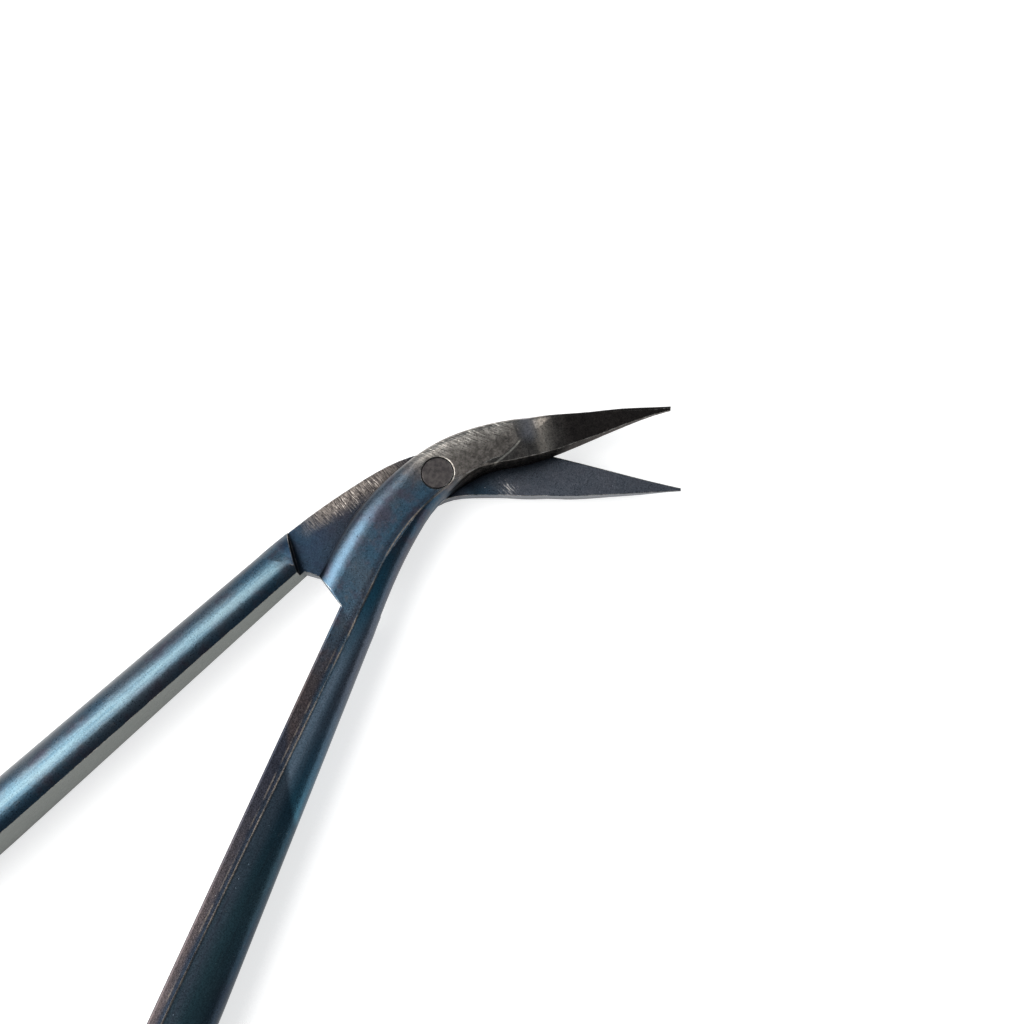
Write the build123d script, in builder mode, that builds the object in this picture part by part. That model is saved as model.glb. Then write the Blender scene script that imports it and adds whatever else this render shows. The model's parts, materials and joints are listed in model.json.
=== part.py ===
from build123d import *
import os

# Angled fine scissors with a lap joint, lying flat on the table with the blades part open.
# Each half is one forging: blade, lap plate, shank and finger ring. A slotted screw joins them.
# Outlines are written in each half's own frame: pivot at (0, 0), shank running back along -X.
# All sizes are in millimetres.

os.makedirs("parts", exist_ok=True)

# ---- Placement: the origin is the middle of the table area that the scissors cover ----
pivot_x = 44.1
pivot_y = -2.6
half_opening = 12.3          # angle of each half's X from the line midway between them

# ---- Thickness ----
joint_thickness = 4.2        # both lap plates together
handle_thickness = 6.6       # rings and thickest part of the shanks
ride_gap = 0.06              # between the two lap plates
middle = handle_thickness / 2
joint_top = joint_thickness / 2

# ---- Cross-section shared by shank, lap and blade ----
edge_round = 0.12            # least rounding where the outer face meets the flat side
roll_width = 1.5             # the other face rolls off towards the flat side
roll_depth = 0.5
roll_hold = 0.4              # how soon it leaves the face, as a part of its width
outer_drop = 0.74            # fullness of the rounded outer side beyond the ridge
shoulder_hold = 0.2          # how quickly the rounded shoulder turns down at its edge
shoulder_drop = 0.42         # depth of that shoulder as a part of its width
low_reach = 4.6              # rounding of the outer side on the other face
low_hold = 0.26              # how soon that rounding leaves the side, as a part of its width
side_land = 0.2              # upright band between the two rounded sides
edge_lean = 0.3              # how far the cutting bevel leans in, as a part of its height

# ---- Lap joint: each plate ends in a shoulder wall that leans forward to the outer side ----
wall_x = -18.9               # foot of the wall at the flat inner side
wall_slope = 4.6 / 2.1       # rise to the outer side for each step forward
heel = 5                     # first pair of outline points on the lap plate
lap_steps = 4                # sections made for each pair of outline points after the heel
reach = 60.0                 # long enough to clear the half in any direction

# ---- Finger ring ----
ring_x = -96.0
ring_rx = 15.6               # middle line of the ring
ring_ry = 12.9
ring_radial = 4.6
ring_inset = 2.1             # how far the ring stands in past the flat of the shank
ring_forged = 7.0            # height of the ring before its faces are ground flat

# ---- Pivot screw ----
screw_end_radius = 1.80      # plain end, flush with the front face
screw_body_radius = 1.85
screw_head_radius = 2.25
screw_head_depth = 0.8
running_clearance = 0.05
rim_chamfer = 0.10
slot_width = 0.7
slot_depth = 0.45

# From the ring to the tip, one row for each pair of outline points: height of the face above
# the middle, ridge and rounded shoulder as parts of the width, height of the narrow cutting
# bevel above the middle, straightness of the face between it and the ridge.
shapes = [
    (2.20, 0.76, 0.05, 0.00, 0.0),
    (3.30, 0.76, 0.05, 0.00, 0.0),
    (3.30, 0.76, 0.05, 0.00, 0.0),
    (3.30, 0.76, 0.05, 0.00, 0.0),
    (joint_top, 0.46, 0.06, 0.00, 0.0),
    (joint_top, 0.25, 0.32, 0.00, 0.0),
    (joint_top, 0.22, 0.37, 0.00, 0.0),
    (joint_top, 0.15, 0.34, 0.00, 0.0),
    (joint_top, 0.11, 0.24, 0.50, 0.1),
    (joint_top, 0.10, 0.20, 1.50, 0.4),
    (joint_top, 0.20, 0.18, 1.75, 1.0),
    (joint_top, 0.44, 0.16, 1.72, 1.0),
    (1.78, 0.68, 0.13, 1.50, 1.0),
    (1.88, 0.88, 0.10, 1.22, 1.0),
    (1.22, 0.86, 0.11, 0.60, 1.0),
    (0.42, 0.60, 0.25, 0.22, 1.0),
]


class Half:
    """One half's frame and outline. Lists run from the ring to the tip."""

    def __init__(self, turn, face, side, outer, inner):
        along = Vector(1, 0, 0).rotate(Axis.Z, turn)
        self.frame = Plane(origin=(pivot_x, pivot_y, middle), x_dir=along, z_dir=(0, 0, 1))
        self.face = face          # +1: its outer face looks up, -1: down
        self.side = side          # +1: the shank lies on the +Y side of its flat inner side
        self.outer = outer        # rounded side of the shank, cutting side of the blade
        self.inner = inner        # flat side of the shank, spine of the blade

    def point(self, x, y, z=0.0):
        return self.frame.from_local_coords((x, y, z))

    def across(self, start, end):
        """An upright plane, X from start to end and Y towards the half's outer face."""
        x_dir = (end - start).normalized()
        return Plane(origin=start, x_dir=x_dir, z_dir=x_dir.cross(Vector(0, 0, self.face)))


front = Half(
    turn=half_opening, face=1, side=-1,
    outer=[(-88.0, -6.9), (-79.0, -4.2), (-74.0, -3.1), (-62.0, -2.7), (-20.9, -0.65),
           (-19.4, -0.6), (-11.4, -0.25), (-4.9, -0.75), (-1.2, -2.1), (1.7, -4.15), (3.3, -5.9),
           (4.5, -7.8), (5.8, -9.5), (7.1, -10.95), (11.8, -15.5), (16.85, -20.9)],
    inner=[(-88.0, 3.5), (-79.0, 3.5), (-74.0, 3.5), (-62.0, 3.5), (-17.8, 3.75),
           (-15.6, 7.7), (-11.1, 7.5), (-4.9, 6.2), (1.6, 2.95), (5.05, 0.1), (7.6, -3.05),
           (9.3, -5.75), (10.45, -7.75), (11.5, -9.75), (14.1, -14.4), (17.35, -20.75)],
)
back = Half(
    turn=-half_opening, face=-1, side=1,
    outer=[(-88.0, 12.1), (-79.0, 9.4), (-74.0, 8.2), (-62.0, 7.75), (-21.3, 7.05),
           (-19.6, 7.05), (-12.9, 6.65), (-7.2, 5.9), (-2.0, 4.7), (2.4, 2.45), (5.5, -0.2),
           (8.3, -3.3), (9.9, -5.25), (11.4, -7.5), (15.0, -13.3), (18.8, -19.25)],
    inner=[(-88.0, 1.85), (-79.0, 1.85), (-74.0, 1.85), (-62.0, 1.85), (-18.2, 2.25),
           (-15.9, -2.0), (-12.0, -2.0), (-7.0, -1.7), (-1.4, -2.2), (1.8, -4.4), (4.1, -6.55),
           (5.4, -7.9), (6.9, -9.3), (8.4, -10.75), (13.4, -15.15), (18.6, -19.5)],
)


def half_section(half, outer, inner, shape):
    """D section: rounded outer side, ridge, flat face, shoulder, flat inner side."""
    top, ridge, shoulder, edge, straight = shape
    start = half.point(outer.X, outer.Y)
    end = half.point(inner.X, inner.Y)
    width = (end - start).length
    ridge *= width
    shoulder *= width
    inner_top = top - min(shoulder_drop * shoulder + edge_round, 0.7 * top)
    roll = min(roll_width, 0.25 * width)
    roll_end = roll_depth * roll / roll_width - top
    low = min(low_reach, 0.95 * (width - roll))
    inset = edge_lean * edge
    full = Vector(inset, edge + outer_drop * (top - edge))
    flat = Vector(inset + ridge, edge + top) / 2
    hold = full + (flat - full) * straight
    with BuildSketch(half.across(start, end)) as section:
        with BuildLine():
            Line((width, roll_end), (width, inner_top))
            Bezier((width, inner_top), (width - shoulder_hold * shoulder, top),
                   (width - shoulder, top))
            Line((width - shoulder, top), (ridge, top))
            Bezier((ridge, top), hold, (inset, edge))
            Line((inset, edge), (0, -side_land))
            Bezier((0, -side_land), (low_hold * low, -top), (low, -top))
            Line((low, -top), (width - roll, -top))
            Bezier((width - roll, -top), (width - roll_hold * roll, -top), (width, roll_end))
        make_face()
    return section.sketch


def half_sections(half):
    """Sections from the ring to the tip, with smooth steps between them after the heel."""
    outer = [Vector(*p) for p in half.outer]
    inner = [Vector(*p) for p in half.inner]
    made = [half_section(half, *row) for row in zip(outer[:heel], inner, shapes)]
    places = [0.0]
    for i in range(heel + 1, len(shapes)):
        step = (outer[i] + inner[i] - outer[i - 1] - inner[i - 1]).length
        places.append(places[-1] + step)
    places = [place / places[-1] for place in places]
    outer_edge = Edge.make_spline(outer[heel:], parameters=places)
    inner_edge = Edge.make_spline(inner[heel:], parameters=places)
    for i in range(len(places) - 1):
        for step in range(lap_steps):
            part = step / lap_steps
            place = places[i] + part * (places[i + 1] - places[i])
            eased = part * part * (3 - 2 * part)
            pair = zip(shapes[heel + i], shapes[heel + i + 1])
            made.append(half_section(
                half,
                outer_edge.position_at(place, PositionMode.PARAMETER),
                inner_edge.position_at(place, PositionMode.PARAMETER),
                [a + (b - a) * eased for a, b in pair],
            ))
    made.append(half_section(half, outer[-1], inner[-1], shapes[-1]))
    return made


def ground_away(half):
    """What grinding takes off the ride side: all forward of the shoulder wall."""
    flat = half.inner[heel - 1][1]
    far_y = half.side * reach
    low, high = sorted((half.face * ride_gap / 2, -half.face * reach))
    with BuildPart() as stock:
        with BuildSketch(half.frame.offset(low)):
            with BuildLine():
                Polyline(
                    (wall_x - reach / wall_slope, flat - far_y),
                    (wall_x + reach / wall_slope, flat + far_y),
                    (reach, flat + far_y),
                    (reach, flat - far_y),
                    close=True,
                )
            make_face()
        extrude(amount=high - low)
    return stock.part


def ring_frame(half):
    ring_y = half.inner[0][1] + half.side * (ring_ry + ring_radial / 2 - ring_inset)
    centre = half.point(ring_x, ring_y)
    return Plane(origin=centre, x_dir=half.frame.x_dir, z_dir=(0, 0, 1))


def finger_ring(half):
    """An oval ring, its two faces ground flat."""
    with BuildPart() as ring:
        with BuildLine(ring_frame(half)) as loop:
            EllipticalCenterArc((0, 0), ring_rx, ring_ry, arc_size=360)
        with BuildSketch(Plane(origin=loop.line @ 0, x_dir=(0, 0, 1), z_dir=loop.line % 0)):
            Ellipse(ring_forged / 2, ring_radial / 2)
        sweep(path=loop.line)
        split(bisect_by=Plane.XY, keep=Keep.TOP)
        split(bisect_by=Plane.XY.offset(handle_thickness), keep=Keep.BOTTOM)
    return ring.part


def forge_half(half):
    with BuildPart() as forging:
        loft(half_sections(half), ruled=True)
        add(ground_away(half), mode=Mode.SUBTRACT)
        # the shank ends along the middle of the ring
        with BuildSketch(ring_frame(half)):
            Ellipse(ring_rx, ring_ry)
        extrude(amount=handle_thickness, both=True, mode=Mode.SUBTRACT)
        add(finger_ring(half))
    return forging.part


pivot_plane = Plane(origin=(pivot_x, pivot_y, middle))

with BuildPart() as front_half:
    add(forge_half(front))
    with BuildSketch(pivot_plane):
        Circle(screw_end_radius)
    extrude(amount=handle_thickness, both=True, mode=Mode.SUBTRACT)
    with BuildSketch(pivot_plane.offset(joint_top - rim_chamfer)):
        Circle(screw_end_radius)
    extrude(amount=rim_chamfer, taper=-45, mode=Mode.SUBTRACT)
front_half.part.label = "front_half"
export_step(front_half.part, "parts/front_half.step")

with BuildPart() as back_half:
    add(forge_half(back))
    with BuildSketch(pivot_plane):
        Circle(screw_body_radius + running_clearance)
    extrude(amount=handle_thickness, both=True, mode=Mode.SUBTRACT)
    with BuildSketch(pivot_plane.offset(screw_head_depth - joint_top)):
        Circle(screw_head_radius + running_clearance)
    extrude(amount=-handle_thickness, mode=Mode.SUBTRACT)
back_half.part.label = "back_half"
export_step(back_half.part, "parts/back_half.step")

with BuildPart() as pivot_screw:
    with BuildSketch(pivot_plane.offset(-joint_top)):
        Circle(screw_head_radius)
    extrude(amount=screw_head_depth - running_clearance)
    with BuildSketch(pivot_plane.offset(screw_head_depth - running_clearance - joint_top)):
        Circle(screw_body_radius)
    extrude(amount=joint_top - screw_head_depth + running_clearance)
    with BuildSketch(pivot_plane):
        Circle(screw_end_radius)
    extrude(amount=joint_top)
    with BuildSketch(pivot_plane.offset(-joint_top)):
        Rectangle(slot_width, 3 * screw_head_radius)
    extrude(amount=slot_depth, mode=Mode.SUBTRACT)
    chamfer(pivot_screw.faces().sort_by(Axis.Z)[-1].edges(), rim_chamfer)
pivot_screw.part.label = "pivot_screw"
export_step(pivot_screw.part, "parts/pivot_screw.step")
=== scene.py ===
import bpy
import json
import math
from mathutils import Matrix, Vector


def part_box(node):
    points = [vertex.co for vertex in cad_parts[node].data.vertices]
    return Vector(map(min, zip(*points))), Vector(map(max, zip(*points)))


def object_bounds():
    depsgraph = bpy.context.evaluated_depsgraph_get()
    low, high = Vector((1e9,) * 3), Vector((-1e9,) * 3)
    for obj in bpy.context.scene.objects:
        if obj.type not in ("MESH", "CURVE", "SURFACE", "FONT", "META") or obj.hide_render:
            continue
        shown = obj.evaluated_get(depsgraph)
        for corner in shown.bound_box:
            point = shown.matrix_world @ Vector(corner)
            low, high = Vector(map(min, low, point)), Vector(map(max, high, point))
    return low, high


# Looks for the angled fine scissors: worn blue-black steel halves and a dull brown pivot screw,
# on a plain pale floor. Lengths are in metres unless a name ends in _MM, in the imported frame.

MM = 0.001
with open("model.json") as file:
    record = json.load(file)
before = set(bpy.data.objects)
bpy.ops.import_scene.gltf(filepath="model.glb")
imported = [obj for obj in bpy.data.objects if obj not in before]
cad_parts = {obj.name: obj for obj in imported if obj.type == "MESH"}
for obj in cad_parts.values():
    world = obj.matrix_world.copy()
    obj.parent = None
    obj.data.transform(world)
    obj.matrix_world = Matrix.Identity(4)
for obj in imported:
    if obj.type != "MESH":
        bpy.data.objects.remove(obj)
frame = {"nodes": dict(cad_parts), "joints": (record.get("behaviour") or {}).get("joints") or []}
cad_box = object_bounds()
pivot = Vector(frame["joints"][0]["pos_m"])
front_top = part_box("pivot_screw")[1].z
ride = 0.5 * (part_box("pivot_screw")[0].z + front_top)
HALF_TURN = 12.3             # degrees from the record's +X to each half's own +X

# ---- Camera ----
VIEW_TARGET = Vector((1.06 * MM, -9.5 * MM, 0.0))   # from the pivot's front face
VIEW_AZIMUTH = -125.2
VIEW_ELEVATION = 73.9
VIEW_UP = Vector((0.795, 0.547, 0.262))
VIEW_DISTANCE = 0.220
LENS = 70.31
SENSOR = 36.0

# ---- Light ----
KEY_AZIMUTH = 124.0
KEY_ELEVATION = 40.0
KEY_DISTANCE = 0.6
KEY_SIZE = (0.70, 0.70)
KEY_POWER = 8.5              # watts
KEY_COLOUR = (1.0, 0.98, 0.95)
WINDOW_AZIMUTH = 105.0       # the middle of the room's bright side
WINDOW_ELEVATION = 28.0
ROOM_DARK = (0.212, 0.238, 0.262)
ROOM_BRIGHT = (0.85, 0.93, 1.0)

# ---- Floor ----
FLOOR_SIZE = 40.0
FLOOR_GAP = 0.0001           # below the CAD box, so that the faces don't meet
FLOOR_COLOUR = (0.50, 0.50, 0.50)
FLOOR_GLOW = 0.70

# ---- Steel colours used in several places ----
BARE_DULL = (0.34, 0.30, 0.26)
BARE_BRIGHT = (0.78, 0.74, 0.68)
# dark of grime in pits, also used as painted shade where surfaces meet and on one side of the screw
# rim
GRIME_AND_SHADE = (0.012, 0.011, 0.012)


def direction(azimuth, elevation):
    a, e = math.radians(azimuth), math.radians(elevation)
    return Vector((math.cos(a) * math.cos(e), math.sin(a) * math.cos(e), math.sin(e)))


def aim(obj, target, up):
    """Turn obj so that its -Z looks at target and its Y leans to up."""
    back = (obj.location - target).normalized()
    right = up.cross(back).normalized()
    turn = Matrix((right, back.cross(right), back)).transposed()
    obj.matrix_world = Matrix.Translation(obj.location) @ turn.to_4x4()


def make_camera():
    data = bpy.data.cameras.new("view")
    data.lens = LENS
    data.sensor_width = SENSOR
    data.clip_start = 0.01
    camera = bpy.data.objects.new("view", data)
    bpy.context.scene.collection.objects.link(camera)
    target = Vector((pivot.x, pivot.y, front_top)) + VIEW_TARGET
    camera.location = target + direction(VIEW_AZIMUTH, VIEW_ELEVATION) * VIEW_DISTANCE
    aim(camera, target, VIEW_UP)
    bpy.context.scene.camera = camera


def area_light(name, azimuth, elevation, distance, size, power, colour):
    data = bpy.data.lights.new(name, "AREA")
    data.shape = "RECTANGLE"
    data.size, data.size_y = size
    data.energy = power
    data.color = colour
    light = bpy.data.objects.new(name, data)
    bpy.context.scene.collection.objects.link(light)
    light.location = pivot + direction(azimuth, elevation) * distance
    aim(light, pivot, Vector((0, 0, 1)))


class Nodes:
    """Short names for the shader nodes used below; every method returns an output socket."""

    def __init__(self, tree):
        self.tree = tree

    def add(self, kind, inputs=(), output=0, **settings):
        node = self.tree.nodes.new(kind)
        for key, value in settings.items():
            setattr(node, key, value)
        for key, value in dict(inputs).items():
            self.put(node.inputs[key], value)
        return node.outputs[output]

    def put(self, socket, value):
        if isinstance(value, bpy.types.NodeSocket):
            self.tree.links.new(value, socket)
        elif socket.type == "RGBA":
            socket.default_value = (*value, 1.0)
        else:
            socket.default_value = value

    def math(self, operation, a, b=0.0, clamp=False):
        return self.add("ShaderNodeMath", {0: a, 1: b}, operation=operation, use_clamp=clamp)

    def step(self, value, low, high, to_low=0.0, to_high=1.0):
        """Smooth change from to_low to to_high while value runs from low to high."""
        inputs = {"Value": value, "From Min": low, "From Max": high,
                  "To Min": to_low, "To Max": to_high}
        return self.add("ShaderNodeMapRange", inputs, interpolation_type="SMOOTHSTEP")

    def near(self, value, centre, spread):
        """1 at the centre, falling smoothly to 0 at the spread."""
        off = self.math("ABSOLUTE", self.math("SUBTRACT", value, centre))
        return self.step(off, 0.0, spread, 1.0, 0.0)

    def both(self, *masks):
        made = masks[0]
        for mask in masks[1:]:
            made = self.math("MULTIPLY", made, mask)
        return made

    def mix(self, part, a, b, blend="MIX"):
        node = self.tree.nodes.new("ShaderNodeMix")
        node.data_type = "RGBA"
        node.blend_type = blend
        self.put(node.inputs["Factor"], part)
        self.put(node.inputs[6], a)
        self.put(node.inputs[7], b)
        return node.outputs[2]

    def noise(self, vector, scale, detail=2.0, rough=0.5, seed=0.0):
        inputs = {"Vector": vector, "Scale": scale, "Detail": detail, "Roughness": rough, "W": seed}
        return self.add("ShaderNodeTexNoise", inputs, noise_dimensions="4D")

    def cells(self, vector, scale):
        return self.add("ShaderNodeTexVoronoi", {"Vector": vector, "Scale": scale})

    def stretched(self, vector, turn, factors):
        inputs = {"Vector": vector, "Rotation": (0, 0, math.radians(turn)), "Scale": factors}
        return self.add("ShaderNodeMapping", inputs)

    def split(self, vector):
        node = self.tree.nodes.new("ShaderNodeSeparateXYZ")
        self.put(node.inputs[0], vector)
        return node.outputs[0], node.outputs[1], node.outputs[2]


def new_material(name):
    material = bpy.data.materials.new(name)
    material.use_nodes = True
    nodes = Nodes(material.node_tree)
    shader = material.node_tree.nodes["Principled BSDF"]
    return material, nodes, shader


def own_place(nodes, turn):
    """Place on the part in millimetres, in the half's own frame with the pivot at zero."""
    raw = nodes.add("ShaderNodeTexCoord", output=3)
    centre = Vector((pivot.x, pivot.y, ride))
    moved = nodes.add("ShaderNodeVectorMath", {0: raw, 1: centre}, operation="SUBTRACT")
    inputs = {"Vector": moved, "Rotation": (0, 0, math.radians(-turn)), "Scale": (1 / MM,) * 3}
    return nodes.add("ShaderNodeMapping", inputs)


def edge_wear(nodes, radius_mm, low, high):
    """1 where the surface turns sharply within the radius."""
    rounded = nodes.add("ShaderNodeBevel", {"Radius": radius_mm * MM}, samples=6)
    true = nodes.add("ShaderNodeNewGeometry", output=1)
    dot = nodes.add("ShaderNodeVectorMath", {0: rounded, 1: true}, output=1,
                    operation="DOT_PRODUCT")
    return rounded, nodes.step(dot, high, low)


def base_steel(nodes, place):
    """Slate blue with purple and brown patches; returns the colour and its noises."""
    broad = nodes.noise(place, 0.10, 3, 0.55, 1.0)
    patchy = nodes.noise(place, 0.40, 5, 0.6, 2.0)
    mottled = nodes.noise(place, 1.7, 4, 0.65, 3.0)
    grain = nodes.noise(place, 6.0, 3, 0.7, 4.0)
    colour = nodes.mix(nodes.step(broad, 0.36, 0.60), (0.030, 0.062, 0.094), (0.052, 0.068, 0.086))
    purple = nodes.step(patchy, 0.46, 0.64, 0.0, 0.8)
    colour = nodes.mix(purple, colour, (0.046, 0.043, 0.060))
    colour = nodes.mix(nodes.step(mottled, 0.52, 0.72, 0.0, 0.4), colour, (0.072, 0.068, 0.068))
    return colour, patchy, mottled, grain


def arm_zones(nodes, colour, x, below, mottled, streaks, on_arm):
    """Brown facet inside the ridge line, teal side outside it with painted highlights streaked
    along it, grey-purple rim near the joint.
    """
    facet = nodes.both(on_arm, nodes.step(x, -16.0, -28.0), nodes.step(below, -0.1, -0.7))
    brown = nodes.mix(mottled, (0.020, 0.015, 0.018), (0.060, 0.046, 0.042))
    rusty = nodes.mix(mottled, (0.110, 0.078, 0.064), (0.300, 0.210, 0.165))
    brown = nodes.mix(nodes.step(x, -36.0, -58.0, 0.0, 0.9), brown, rusty)
    colour = nodes.mix(nodes.both(facet, 0.9), colour, brown)

    on_side = nodes.both(on_arm, nodes.step(x, 1.0, -3.0))
    teal = nodes.both(on_side, nodes.step(below, 0.05, 0.4), nodes.step(below, 5.5, 1.2),
                      nodes.step(x, -8.0, -18.0))
    # painted highlight: lighter teal towards the ridge, far along the arm
    painted_highlight = nodes.both(nodes.step(x, -34.0, -56.0), nodes.step(below, 4.6, 3.2))
    side_steel_and_sheen = nodes.mix(painted_highlight, (0.018, 0.125, 0.200), (0.170, 0.380, 0.430))
    # painted highlight: bright streaked band just outside the ridge
    shine = nodes.both(nodes.near(below, 0.7, 1.5), nodes.step(streaks, 0.30, 0.60, 0.6, 1.0),
                       nodes.step(x, -14.0, -26.0))
    side_steel_and_sheen = nodes.mix(shine, side_steel_and_sheen, (0.340, 0.430, 0.530))
    drab = nodes.step(streaks, 0.52, 0.70, 0.0, 0.5)
    side_steel_and_sheen = nodes.mix(drab, side_steel_and_sheen, (0.075, 0.070, 0.078))
    colour = nodes.mix(nodes.both(teal, 0.85), colour, side_steel_and_sheen)

    rim = nodes.both(on_side, nodes.step(below, 0.7, 1.8), nodes.step(x, -44.0, -24.0))
    colour = nodes.mix(nodes.both(rim, 0.8), colour, (0.078, 0.074, 0.090))
    dark = nodes.both(on_arm, nodes.near(below, -0.35, 0.6), nodes.step(x, 2.0, -4.0))
    return nodes.mix(nodes.both(dark, 0.6), colour, (0.018, 0.017, 0.024))


def shoulder_zones(nodes, colour, x, y):
    """Painted highlight as a light blue crest along the lap's rounded shoulder, with painted shade
    darkening the brink outside it.
    """
    heel = nodes.math("ADD", x, 15.4)
    crest = nodes.math("SUBTRACT", 6.05, nodes.both(heel, heel, 0.0125))
    above = nodes.math("SUBTRACT", y, crest)
    # painted shade: the brink outside the crest is painted darker
    brink = nodes.both(nodes.step(above, 0.4, 1.1), nodes.step(x, -2.0, -7.0))
    colour = nodes.mix(nodes.both(brink, 0.7), colour, (0.014, 0.020, 0.032))
    # painted highlight: light blue crest along the rounded shoulder
    painted_highlight = nodes.both(nodes.near(above, -0.15, 0.95), nodes.step(x, -20.0, -16.5),
                      nodes.step(x, -4.0, -11.0))
    return nodes.mix(nodes.both(painted_highlight, 0.8), colour, (0.080, 0.132, 0.182))


def plunge_line(nodes, x, y):
    """Mask of the crisp line where the blade's grinding starts."""
    start_x, start_y, length = 3.2, -5.2, 4.2
    east, north = 0.899, -0.438
    out = nodes.math("SUBTRACT", x, start_x)
    up = nodes.math("SUBTRACT", y, start_y)
    across = nodes.math("ADD", nodes.both(out, -north), nodes.both(up, east))
    along = nodes.math("ADD", nodes.both(out, east), nodes.both(up, north))
    bow = nodes.both(along, nodes.math("SUBTRACT", length, along), 0.05)
    return nodes.both(nodes.near(nodes.math("ADD", across, bow), 0.0, 0.17),
                      nodes.step(along, -0.2, 0.4), nodes.step(along, 4.4, 4.0))


def front_blade_zones(nodes, colour, x, y, patchy, mottled, hatch):
    """Bronze hub, painted light lifting the dark hollow and a painted highlight on the patch past
    it, near-black tip and brushed spine.
    """
    wander = nodes.math("ADD", x, nodes.math("MULTIPLY", patchy, 4.0))
    bronze = nodes.mix(nodes.step(mottled, 0.35, 0.65),
                       (0.066, 0.059, 0.054), (0.132, 0.119, 0.108))
    colour = nodes.mix(nodes.step(wander, -1.0, 3.5), colour, bronze)
    run = nodes.math("SUBTRACT", nodes.both(x, 0.59), nodes.both(y, 0.81))
    over = nodes.math("ADD", nodes.both(x, 0.81), nodes.both(y, 0.59))
    # painted light: the hollow past the plunge line is painted paler to lift its shade
    hollow = nodes.both(nodes.near(run, 11.0, 1.7), nodes.step(over, 0.6, 2.2))
    colour = nodes.mix(nodes.both(hollow, 0.8), colour, (0.300, 0.290, 0.310))
    # painted highlight: the patch past the hollow is painted lighter where light falls on it
    light = nodes.both(nodes.near(run, 12.4, 1.6), nodes.step(over, -1.4, 0.2))
    colour = nodes.mix(nodes.both(light, 0.8), colour, (0.330, 0.290, 0.250))
    tip = nodes.mix(mottled, (0.016, 0.014, 0.015), (0.060, 0.048, 0.042))
    colour = nodes.mix(nodes.step(run, 12.5, 16.0, 0.0, 0.9), colour, tip)
    plunge = plunge_line(nodes, x, y)
    colour = nodes.mix(nodes.both(plunge, 0.9), colour, (0.50, 0.46, 0.40))

    spine = nodes.both(nodes.math("ADD", x, y), 0.707)
    brushed = nodes.both(nodes.step(spine, 0.6, 2.6), nodes.step(x, -1.0, 2.0),
                         nodes.step(x, 10.5, 8.0), nodes.step(hatch, 0.30, 0.70))
    colour = nodes.mix(nodes.both(brushed, 0.7), colour, (0.560, 0.520, 0.470))
    nicks = nodes.both(nodes.step(spine, 1.9, 2.8), nodes.step(x, 0.5, 2.5),
                       nodes.step(x, 9.5, 7.0), nodes.step(hatch, 0.60, 0.70))
    return colour, nicks


def ridge_lines(nodes, x, below, patchy, on_arm):
    """Mask of the worn line along the ridge and the fainter one beside it."""
    line = nodes.both(on_arm, nodes.near(below, 0.06, 0.16), nodes.step(x, 0.5, -3.0),
                      nodes.step(patchy, 0.35, 0.55, 0.25, 1.0))
    second = nodes.both(on_arm, nodes.near(below, -0.5, 0.14), nodes.step(x, -18.0, -26.0),
                        nodes.step(patchy, 0.40, 0.60))
    return nodes.math("MAXIMUM", line, nodes.both(second, 0.6))


def front_colours(nodes, colour, x, y, patchy, mottled, hatch, streaks):
    """Zones of the front half. x runs forward from the pivot and y to the left, in mm; below is
    the distance outside the ridge line that runs along the arm and bends at the joint."""
    bend = nodes.math("MAXIMUM", nodes.math("ADD", x, 12.0), 0.0)
    ridge = nodes.math("SUBTRACT", nodes.step(x, -90.0, 20.0, 2.15, 1.30),
                       nodes.both(bend, bend, 0.0240))
    below = nodes.math("SUBTRACT", ridge, y)
    on_arm = nodes.step(x, -85.0, -72.0)
    colour = arm_zones(nodes, colour, x, below, mottled, streaks, on_arm)
    colour = shoulder_zones(nodes, colour, x, y)
    colour, nicks = front_blade_zones(nodes, colour, x, y, patchy, mottled, hatch)
    line = ridge_lines(nodes, x, below, patchy, on_arm)
    return nodes.mix(nodes.both(line, 0.75), colour, (0.22, 0.185, 0.15)), nicks


def ground_side(nodes, turn):
    """Mask of the back arm's flat inner side, from the way the surface faces."""
    facing = nodes.add("ShaderNodeTexCoord", output=1)
    spin = nodes.add("ShaderNodeVectorRotate",
                     {"Vector": facing, "Axis": (0, 0, 1), "Angle": math.radians(-turn)})
    return nodes.step(nodes.split(spin)[1], -0.7, -0.9)


def back_arm_zones(nodes, colour, x, y, turn, mottled, streaks):
    """Grey ground inner side, a painted highlight as a light band along the crown, and painted
    shade darkening the outer edge.
    """
    on_arm = nodes.step(x, -85.0, -76.0)
    side = nodes.both(on_arm, ground_side(nodes, turn), nodes.step(x, -17.0, -18.0))
    ground = nodes.mix(mottled, (0.080, 0.094, 0.082), (0.125, 0.136, 0.120))
    colour = nodes.mix(side, colour, ground)
    # painted highlight: light band along the crown of the back arm
    crown = nodes.both(on_arm, nodes.near(y, 4.3, 1.6), nodes.step(x, -17.5, -21.0))
    crown_highlight = nodes.mix(nodes.step(streaks, 0.35, 0.65),
                            (0.056, 0.105, 0.138), (0.120, 0.180, 0.208))
    colour = nodes.mix(nodes.both(crown, 0.8), colour, crown_highlight)
    # painted shade: the back arm's outer edge is painted darker
    outer = nodes.both(on_arm, nodes.step(y, 5.6, 6.8), nodes.step(x, -17.5, -21.0))
    return nodes.mix(nodes.both(outer, 0.6), colour, (0.018, 0.030, 0.042))


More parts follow.
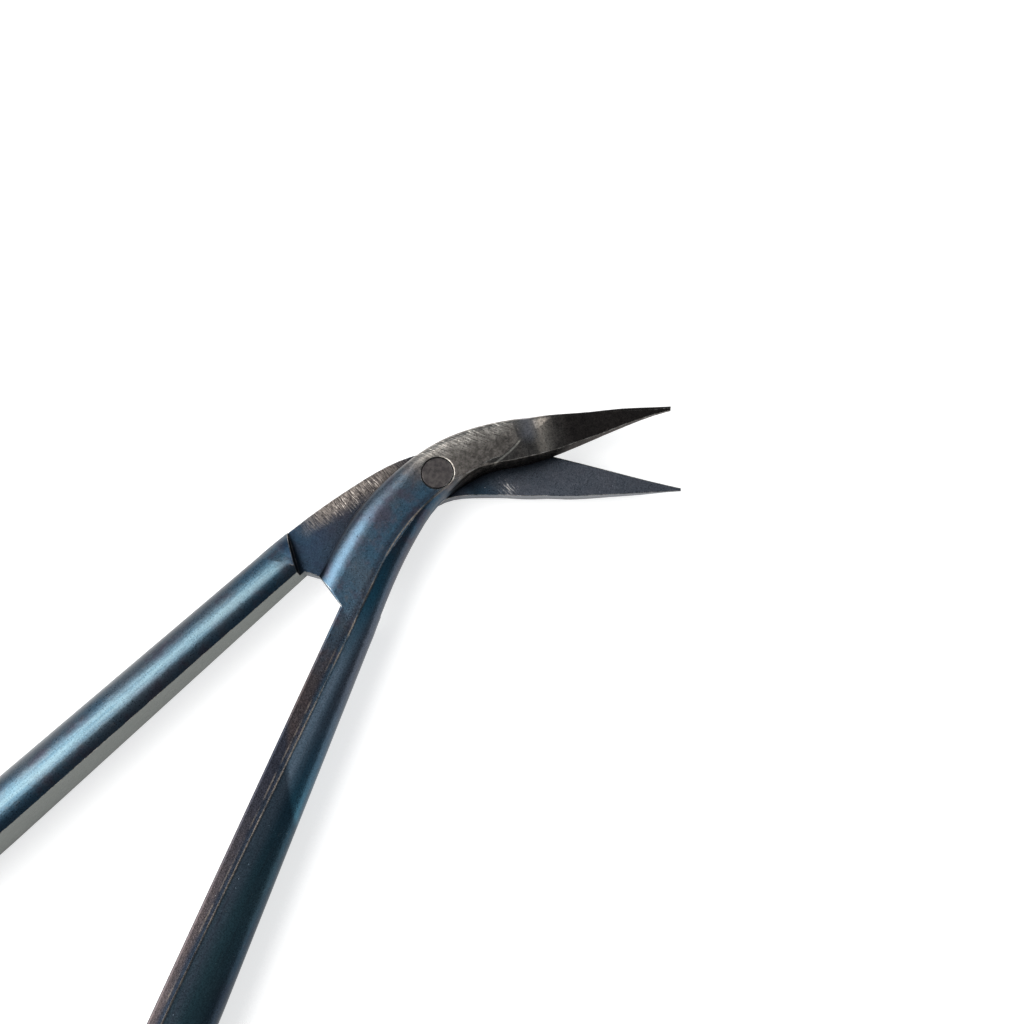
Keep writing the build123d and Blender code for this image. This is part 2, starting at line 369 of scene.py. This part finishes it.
def recess_zones(nodes, colour, x, y, patchy, hatch):
    """Dark blue painted shade in the recess, with a brown, nicked band along the lap's outer edge.
    """
    # painted shade: the recess is painted darker, bluer towards the wall
    recess = nodes.both(nodes.step(x, -19.0, -18.0), nodes.step(x, 3.0, -2.0))
    shade = nodes.mix(nodes.step(x, -16.0, -10.0), (0.014, 0.030, 0.054), (0.025, 0.025, 0.032))
    colour = nodes.mix(nodes.both(recess, 0.75), colour, shade)
    past = nodes.math("ADD", x, 12.9)
    edge = nodes.math("SUBTRACT", 6.65, nodes.both(past, 0.13))
    edge = nodes.math("SUBTRACT", edge, nodes.both(past, past, 0.006))
    inside = nodes.math("SUBTRACT", edge, y)
    on_lap = nodes.both(nodes.step(x, -16.5, -12.0), nodes.step(x, 0.0, -4.0))
    brown = nodes.mix(nodes.step(hatch, 0.30, 0.68), (0.032, 0.026, 0.026), (0.280, 0.240, 0.212))
    wander = nodes.math("ADD", inside, nodes.both(patchy, 2.0))
    colour = nodes.mix(nodes.both(on_lap, nodes.step(wander, 3.6, 1.8, 0.0, 0.85)), colour, brown)
    nicks = nodes.both(nodes.step(inside, 2.6, 1.2), nodes.step(inside, 0.05, 0.4),
                       nodes.step(x, -13.5, -9.0), nodes.step(x, -4.5, -6.5),
                       nodes.step(hatch, 0.56, 0.68))
    return colour, nicks


def back_colours(nodes, colour, x, y, turn, patchy, mottled, hatch, streaks):
    """Zones of the back half, in the same directions as the front half's."""
    colour = back_arm_zones(nodes, colour, x, y, turn, mottled, streaks)
    colour, nicks = recess_zones(nodes, colour, x, y, patchy, hatch)
    blade = nodes.mix(mottled, (0.078, 0.084, 0.102), (0.135, 0.140, 0.160))
    colour = nodes.mix(nodes.step(x, 2.0, 5.0, 0.0, 0.85), colour, blade)
    patch = nodes.both(nodes.near(x, 4.8, 1.5), nodes.near(y, -6.1, 1.4),
                       nodes.step(hatch, 0.50, 0.66))
    nicks = nodes.math("MAXIMUM", nodes.both(nicks, 0.8), nodes.both(patch, 0.5))

    # painted shade on the lower blade beside the upper one, darker where it is closed in
    shaded = nodes.add("ShaderNodeAmbientOcclusion", {"Distance": 4.0 * MM}, output=1, samples=4)
    painted_under_shade = nodes.both(nodes.step(shaded, 0.93, 0.74, 0.0, 0.93), nodes.step(x, 0.5, 2.0))
    return nodes.mix(painted_under_shade, colour, (0.009, 0.013, 0.018)), nicks


def blued_steel(name, turn, front):
    """Worn blue-black steel of one half, with painted highlights and painted shade in places."""
    material, nodes, shader = new_material(name)
    place = own_place(nodes, turn)
    x, y = nodes.split(place)[:2]
    rounded, edge = edge_wear(nodes, 0.17, 0.92, 0.993)
    colour, patchy, mottled, grain = base_steel(nodes, place)
    hatched = nodes.stretched(place, 8.0 if front else -6.0, (7.0, 0.8, 1.0))
    hatch = nodes.noise(hatched, 1.0, 3, 0.6, 6.0)
    streaks = nodes.noise(nodes.stretched(place, 0.0, (0.09, 1.6, 0.6)), 1.0, 4, 0.6, 7.0)
    if front:
        colour, nicks = front_colours(nodes, colour, x, y, patchy, mottled, hatch, streaks)
    else:
        colour, nicks = back_colours(nodes, colour, x, y, turn, patchy, mottled, hatch, streaks)

    # worn-through metal at nicks and along worn edges, fine scratches, pits, and painted shade
    # where surfaces meet
    bare_and_glint = nodes.mix(nodes.step(mottled, 0.4, 0.6), BARE_DULL, BARE_BRIGHT)
    colour = nodes.mix(nodes.both(nicks, 0.8), colour, bare_and_glint)
    worn = nodes.both(edge, nodes.step(patchy, 0.34, 0.60, 0.05, 0.9))
    if front:
        worn = nodes.math("MAXIMUM", worn, nodes.both(edge, nodes.step(x, 4.0, 6.0), 0.55))
    colour = nodes.mix(worn, colour, bare_and_glint)
    drawn = nodes.noise(nodes.stretched(place, 20.0, (0.6, 9.0, 3.0)), 1.0, 3, 0.6, 5.0)
    scratch = nodes.both(nodes.step(drawn, 0.66, 0.74), nodes.step(patchy, 0.4, 0.6, 0.0, 0.30))
    colour = nodes.mix(scratch, colour, (0.22, 0.20, 0.18))
    pit = nodes.step(nodes.cells(place, 1.5), 0.13, 0.05)
    pit = nodes.both(pit, nodes.step(patchy, 0.50, 0.60))
    colour = nodes.mix(nodes.both(pit, 0.6), colour, GRIME_AND_SHADE)
    fleck = nodes.both(nodes.step(nodes.cells(place, 1.1), 0.085, 0.04),
                       nodes.step(mottled, 0.55, 0.6))
    colour = nodes.mix(nodes.both(fleck, 0.5), colour, (0.35, 0.36, 0.36))
    # painted shade: darker where surfaces meet and close over one another
    painted_corner_shade = nodes.add("ShaderNodeAmbientOcclusion", {"Distance": 1.6 * MM}, output=1, samples=4)
    colour = nodes.mix(nodes.step(painted_corner_shade, 0.93, 0.45, 0.0, 0.80), colour, (0.010, 0.011, 0.014))
    grainy = nodes.mix(nodes.step(grain, 0.3, 0.7), (0.72,) * 3, (1.28,) * 3)
    colour = nodes.mix(1.0, colour, grainy, "MULTIPLY")

    rough = nodes.math("ADD", nodes.step(grain, 0.3, 0.7, 0.23, 0.31), nodes.both(patchy, 0.08))
    height = nodes.math("ADD", nodes.both(grain, 0.010), nodes.both(mottled, 0.016))
    height = nodes.math("SUBTRACT", height, nodes.both(pit, 0.03))
    height = nodes.math("SUBTRACT", height, nodes.both(nicks, 0.03))
    inputs = {"Height": height, "Distance": 1 * MM, "Strength": 1.0, "Normal": rounded}
    bump = nodes.add("ShaderNodeBump", inputs)
    nodes.put(shader.inputs["Base Color"], colour)
    nodes.put(shader.inputs["Metallic"], 1.0)
    nodes.put(shader.inputs["Roughness"], rough)
    nodes.put(shader.inputs["Normal"], bump)
    return material


def screw_steel():
    """Dull brown steel of the pivot screw."""
    material, nodes, shader = new_material("screw_steel")
    place = own_place(nodes, HALF_TURN)
    x, y = nodes.split(place)[:2]
    rounded, edge = edge_wear(nodes, 0.12, 0.90, 0.99)
    mottled = nodes.noise(place, 2.0, 4, 0.6, 3.0)
    grain = nodes.noise(place, 8.0, 3, 0.7, 4.0)
    colour = nodes.mix(nodes.step(mottled, 0.35, 0.65),
                       (0.038, 0.034, 0.035), (0.070, 0.063, 0.061))
    # the rim is painted bright on the blade's side, a painted highlight, and painted dark on the
    # other side, a painted shade
    facing = nodes.math("SUBTRACT", nodes.both(x, 0.40), nodes.both(y, 0.91))
    colour = nodes.mix(nodes.both(edge, nodes.step(facing, 0.9, -0.3)), colour, GRIME_AND_SHADE)
    bare_and_glint = nodes.both(edge, nodes.step(facing, 0.2, 1.2), nodes.step(mottled, 0.36, 0.52))
    colour = nodes.mix(bare_and_glint, colour, (0.85, 0.82, 0.77))
    height = nodes.math("ADD", nodes.both(grain, 0.008), nodes.both(mottled, 0.016))
    inputs = {"Height": height, "Distance": 1 * MM, "Strength": 1.0, "Normal": rounded}
    nodes.put(shader.inputs["Base Color"], colour)
    nodes.put(shader.inputs["Metallic"], 1.0)
    nodes.put(shader.inputs["Roughness"], nodes.step(grain, 0.3, 0.7, 0.40, 0.55))
    nodes.put(shader.inputs["Normal"], nodes.add("ShaderNodeBump", inputs))
    return material


def make_stage():
    bpy.ops.mesh.primitive_plane_add(size=FLOOR_SIZE, location=(0, 0, cad_box[0][2] - FLOOR_GAP))
    floor = bpy.context.object
    floor.name = "floor"
    material, nodes, shader = new_material("floor")
    nodes.put(shader.inputs["Base Color"], FLOOR_COLOUR)
    nodes.put(shader.inputs["Roughness"], 0.9)
    nodes.put(shader.inputs["Emission Color"], (1.0, 1.0, 1.0))
    nodes.put(shader.inputs["Emission Strength"], FLOOR_GLOW)
    floor.data.materials.append(material)

    world = bpy.data.worlds.new("studio")
    bpy.context.scene.world = world
    world.use_nodes = True
    nodes = Nodes(world.node_tree)
    sky = nodes.add("ShaderNodeTexCoord", output=0)
    window = direction(WINDOW_AZIMUTH, WINDOW_ELEVATION)
    towards = nodes.add("ShaderNodeVectorMath", {0: sky, 1: window}, output=1,
                        operation="DOT_PRODUCT")
    colour = nodes.mix(nodes.step(towards, 0.55, 0.95), ROOM_DARK, ROOM_BRIGHT)
    background = world.node_tree.nodes["Background"]
    nodes.put(background.inputs["Color"], colour)
    nodes.put(background.inputs["Strength"], 1.0)
    area_light("key", KEY_AZIMUTH, KEY_ELEVATION, KEY_DISTANCE, KEY_SIZE, KEY_POWER, KEY_COLOUR)


make_camera()
make_stage()
looks = {
    "front_half": blued_steel("front_steel", HALF_TURN, True),
    "back_half": blued_steel("back_steel", -HALF_TURN, False),
    "pivot_screw": screw_steel(),
}
for name, node in frame["nodes"].items():
    node.data.materials.clear()
    node.data.materials.append(looks[name])
bpy.context.scene.view_settings.view_transform = "Standard"
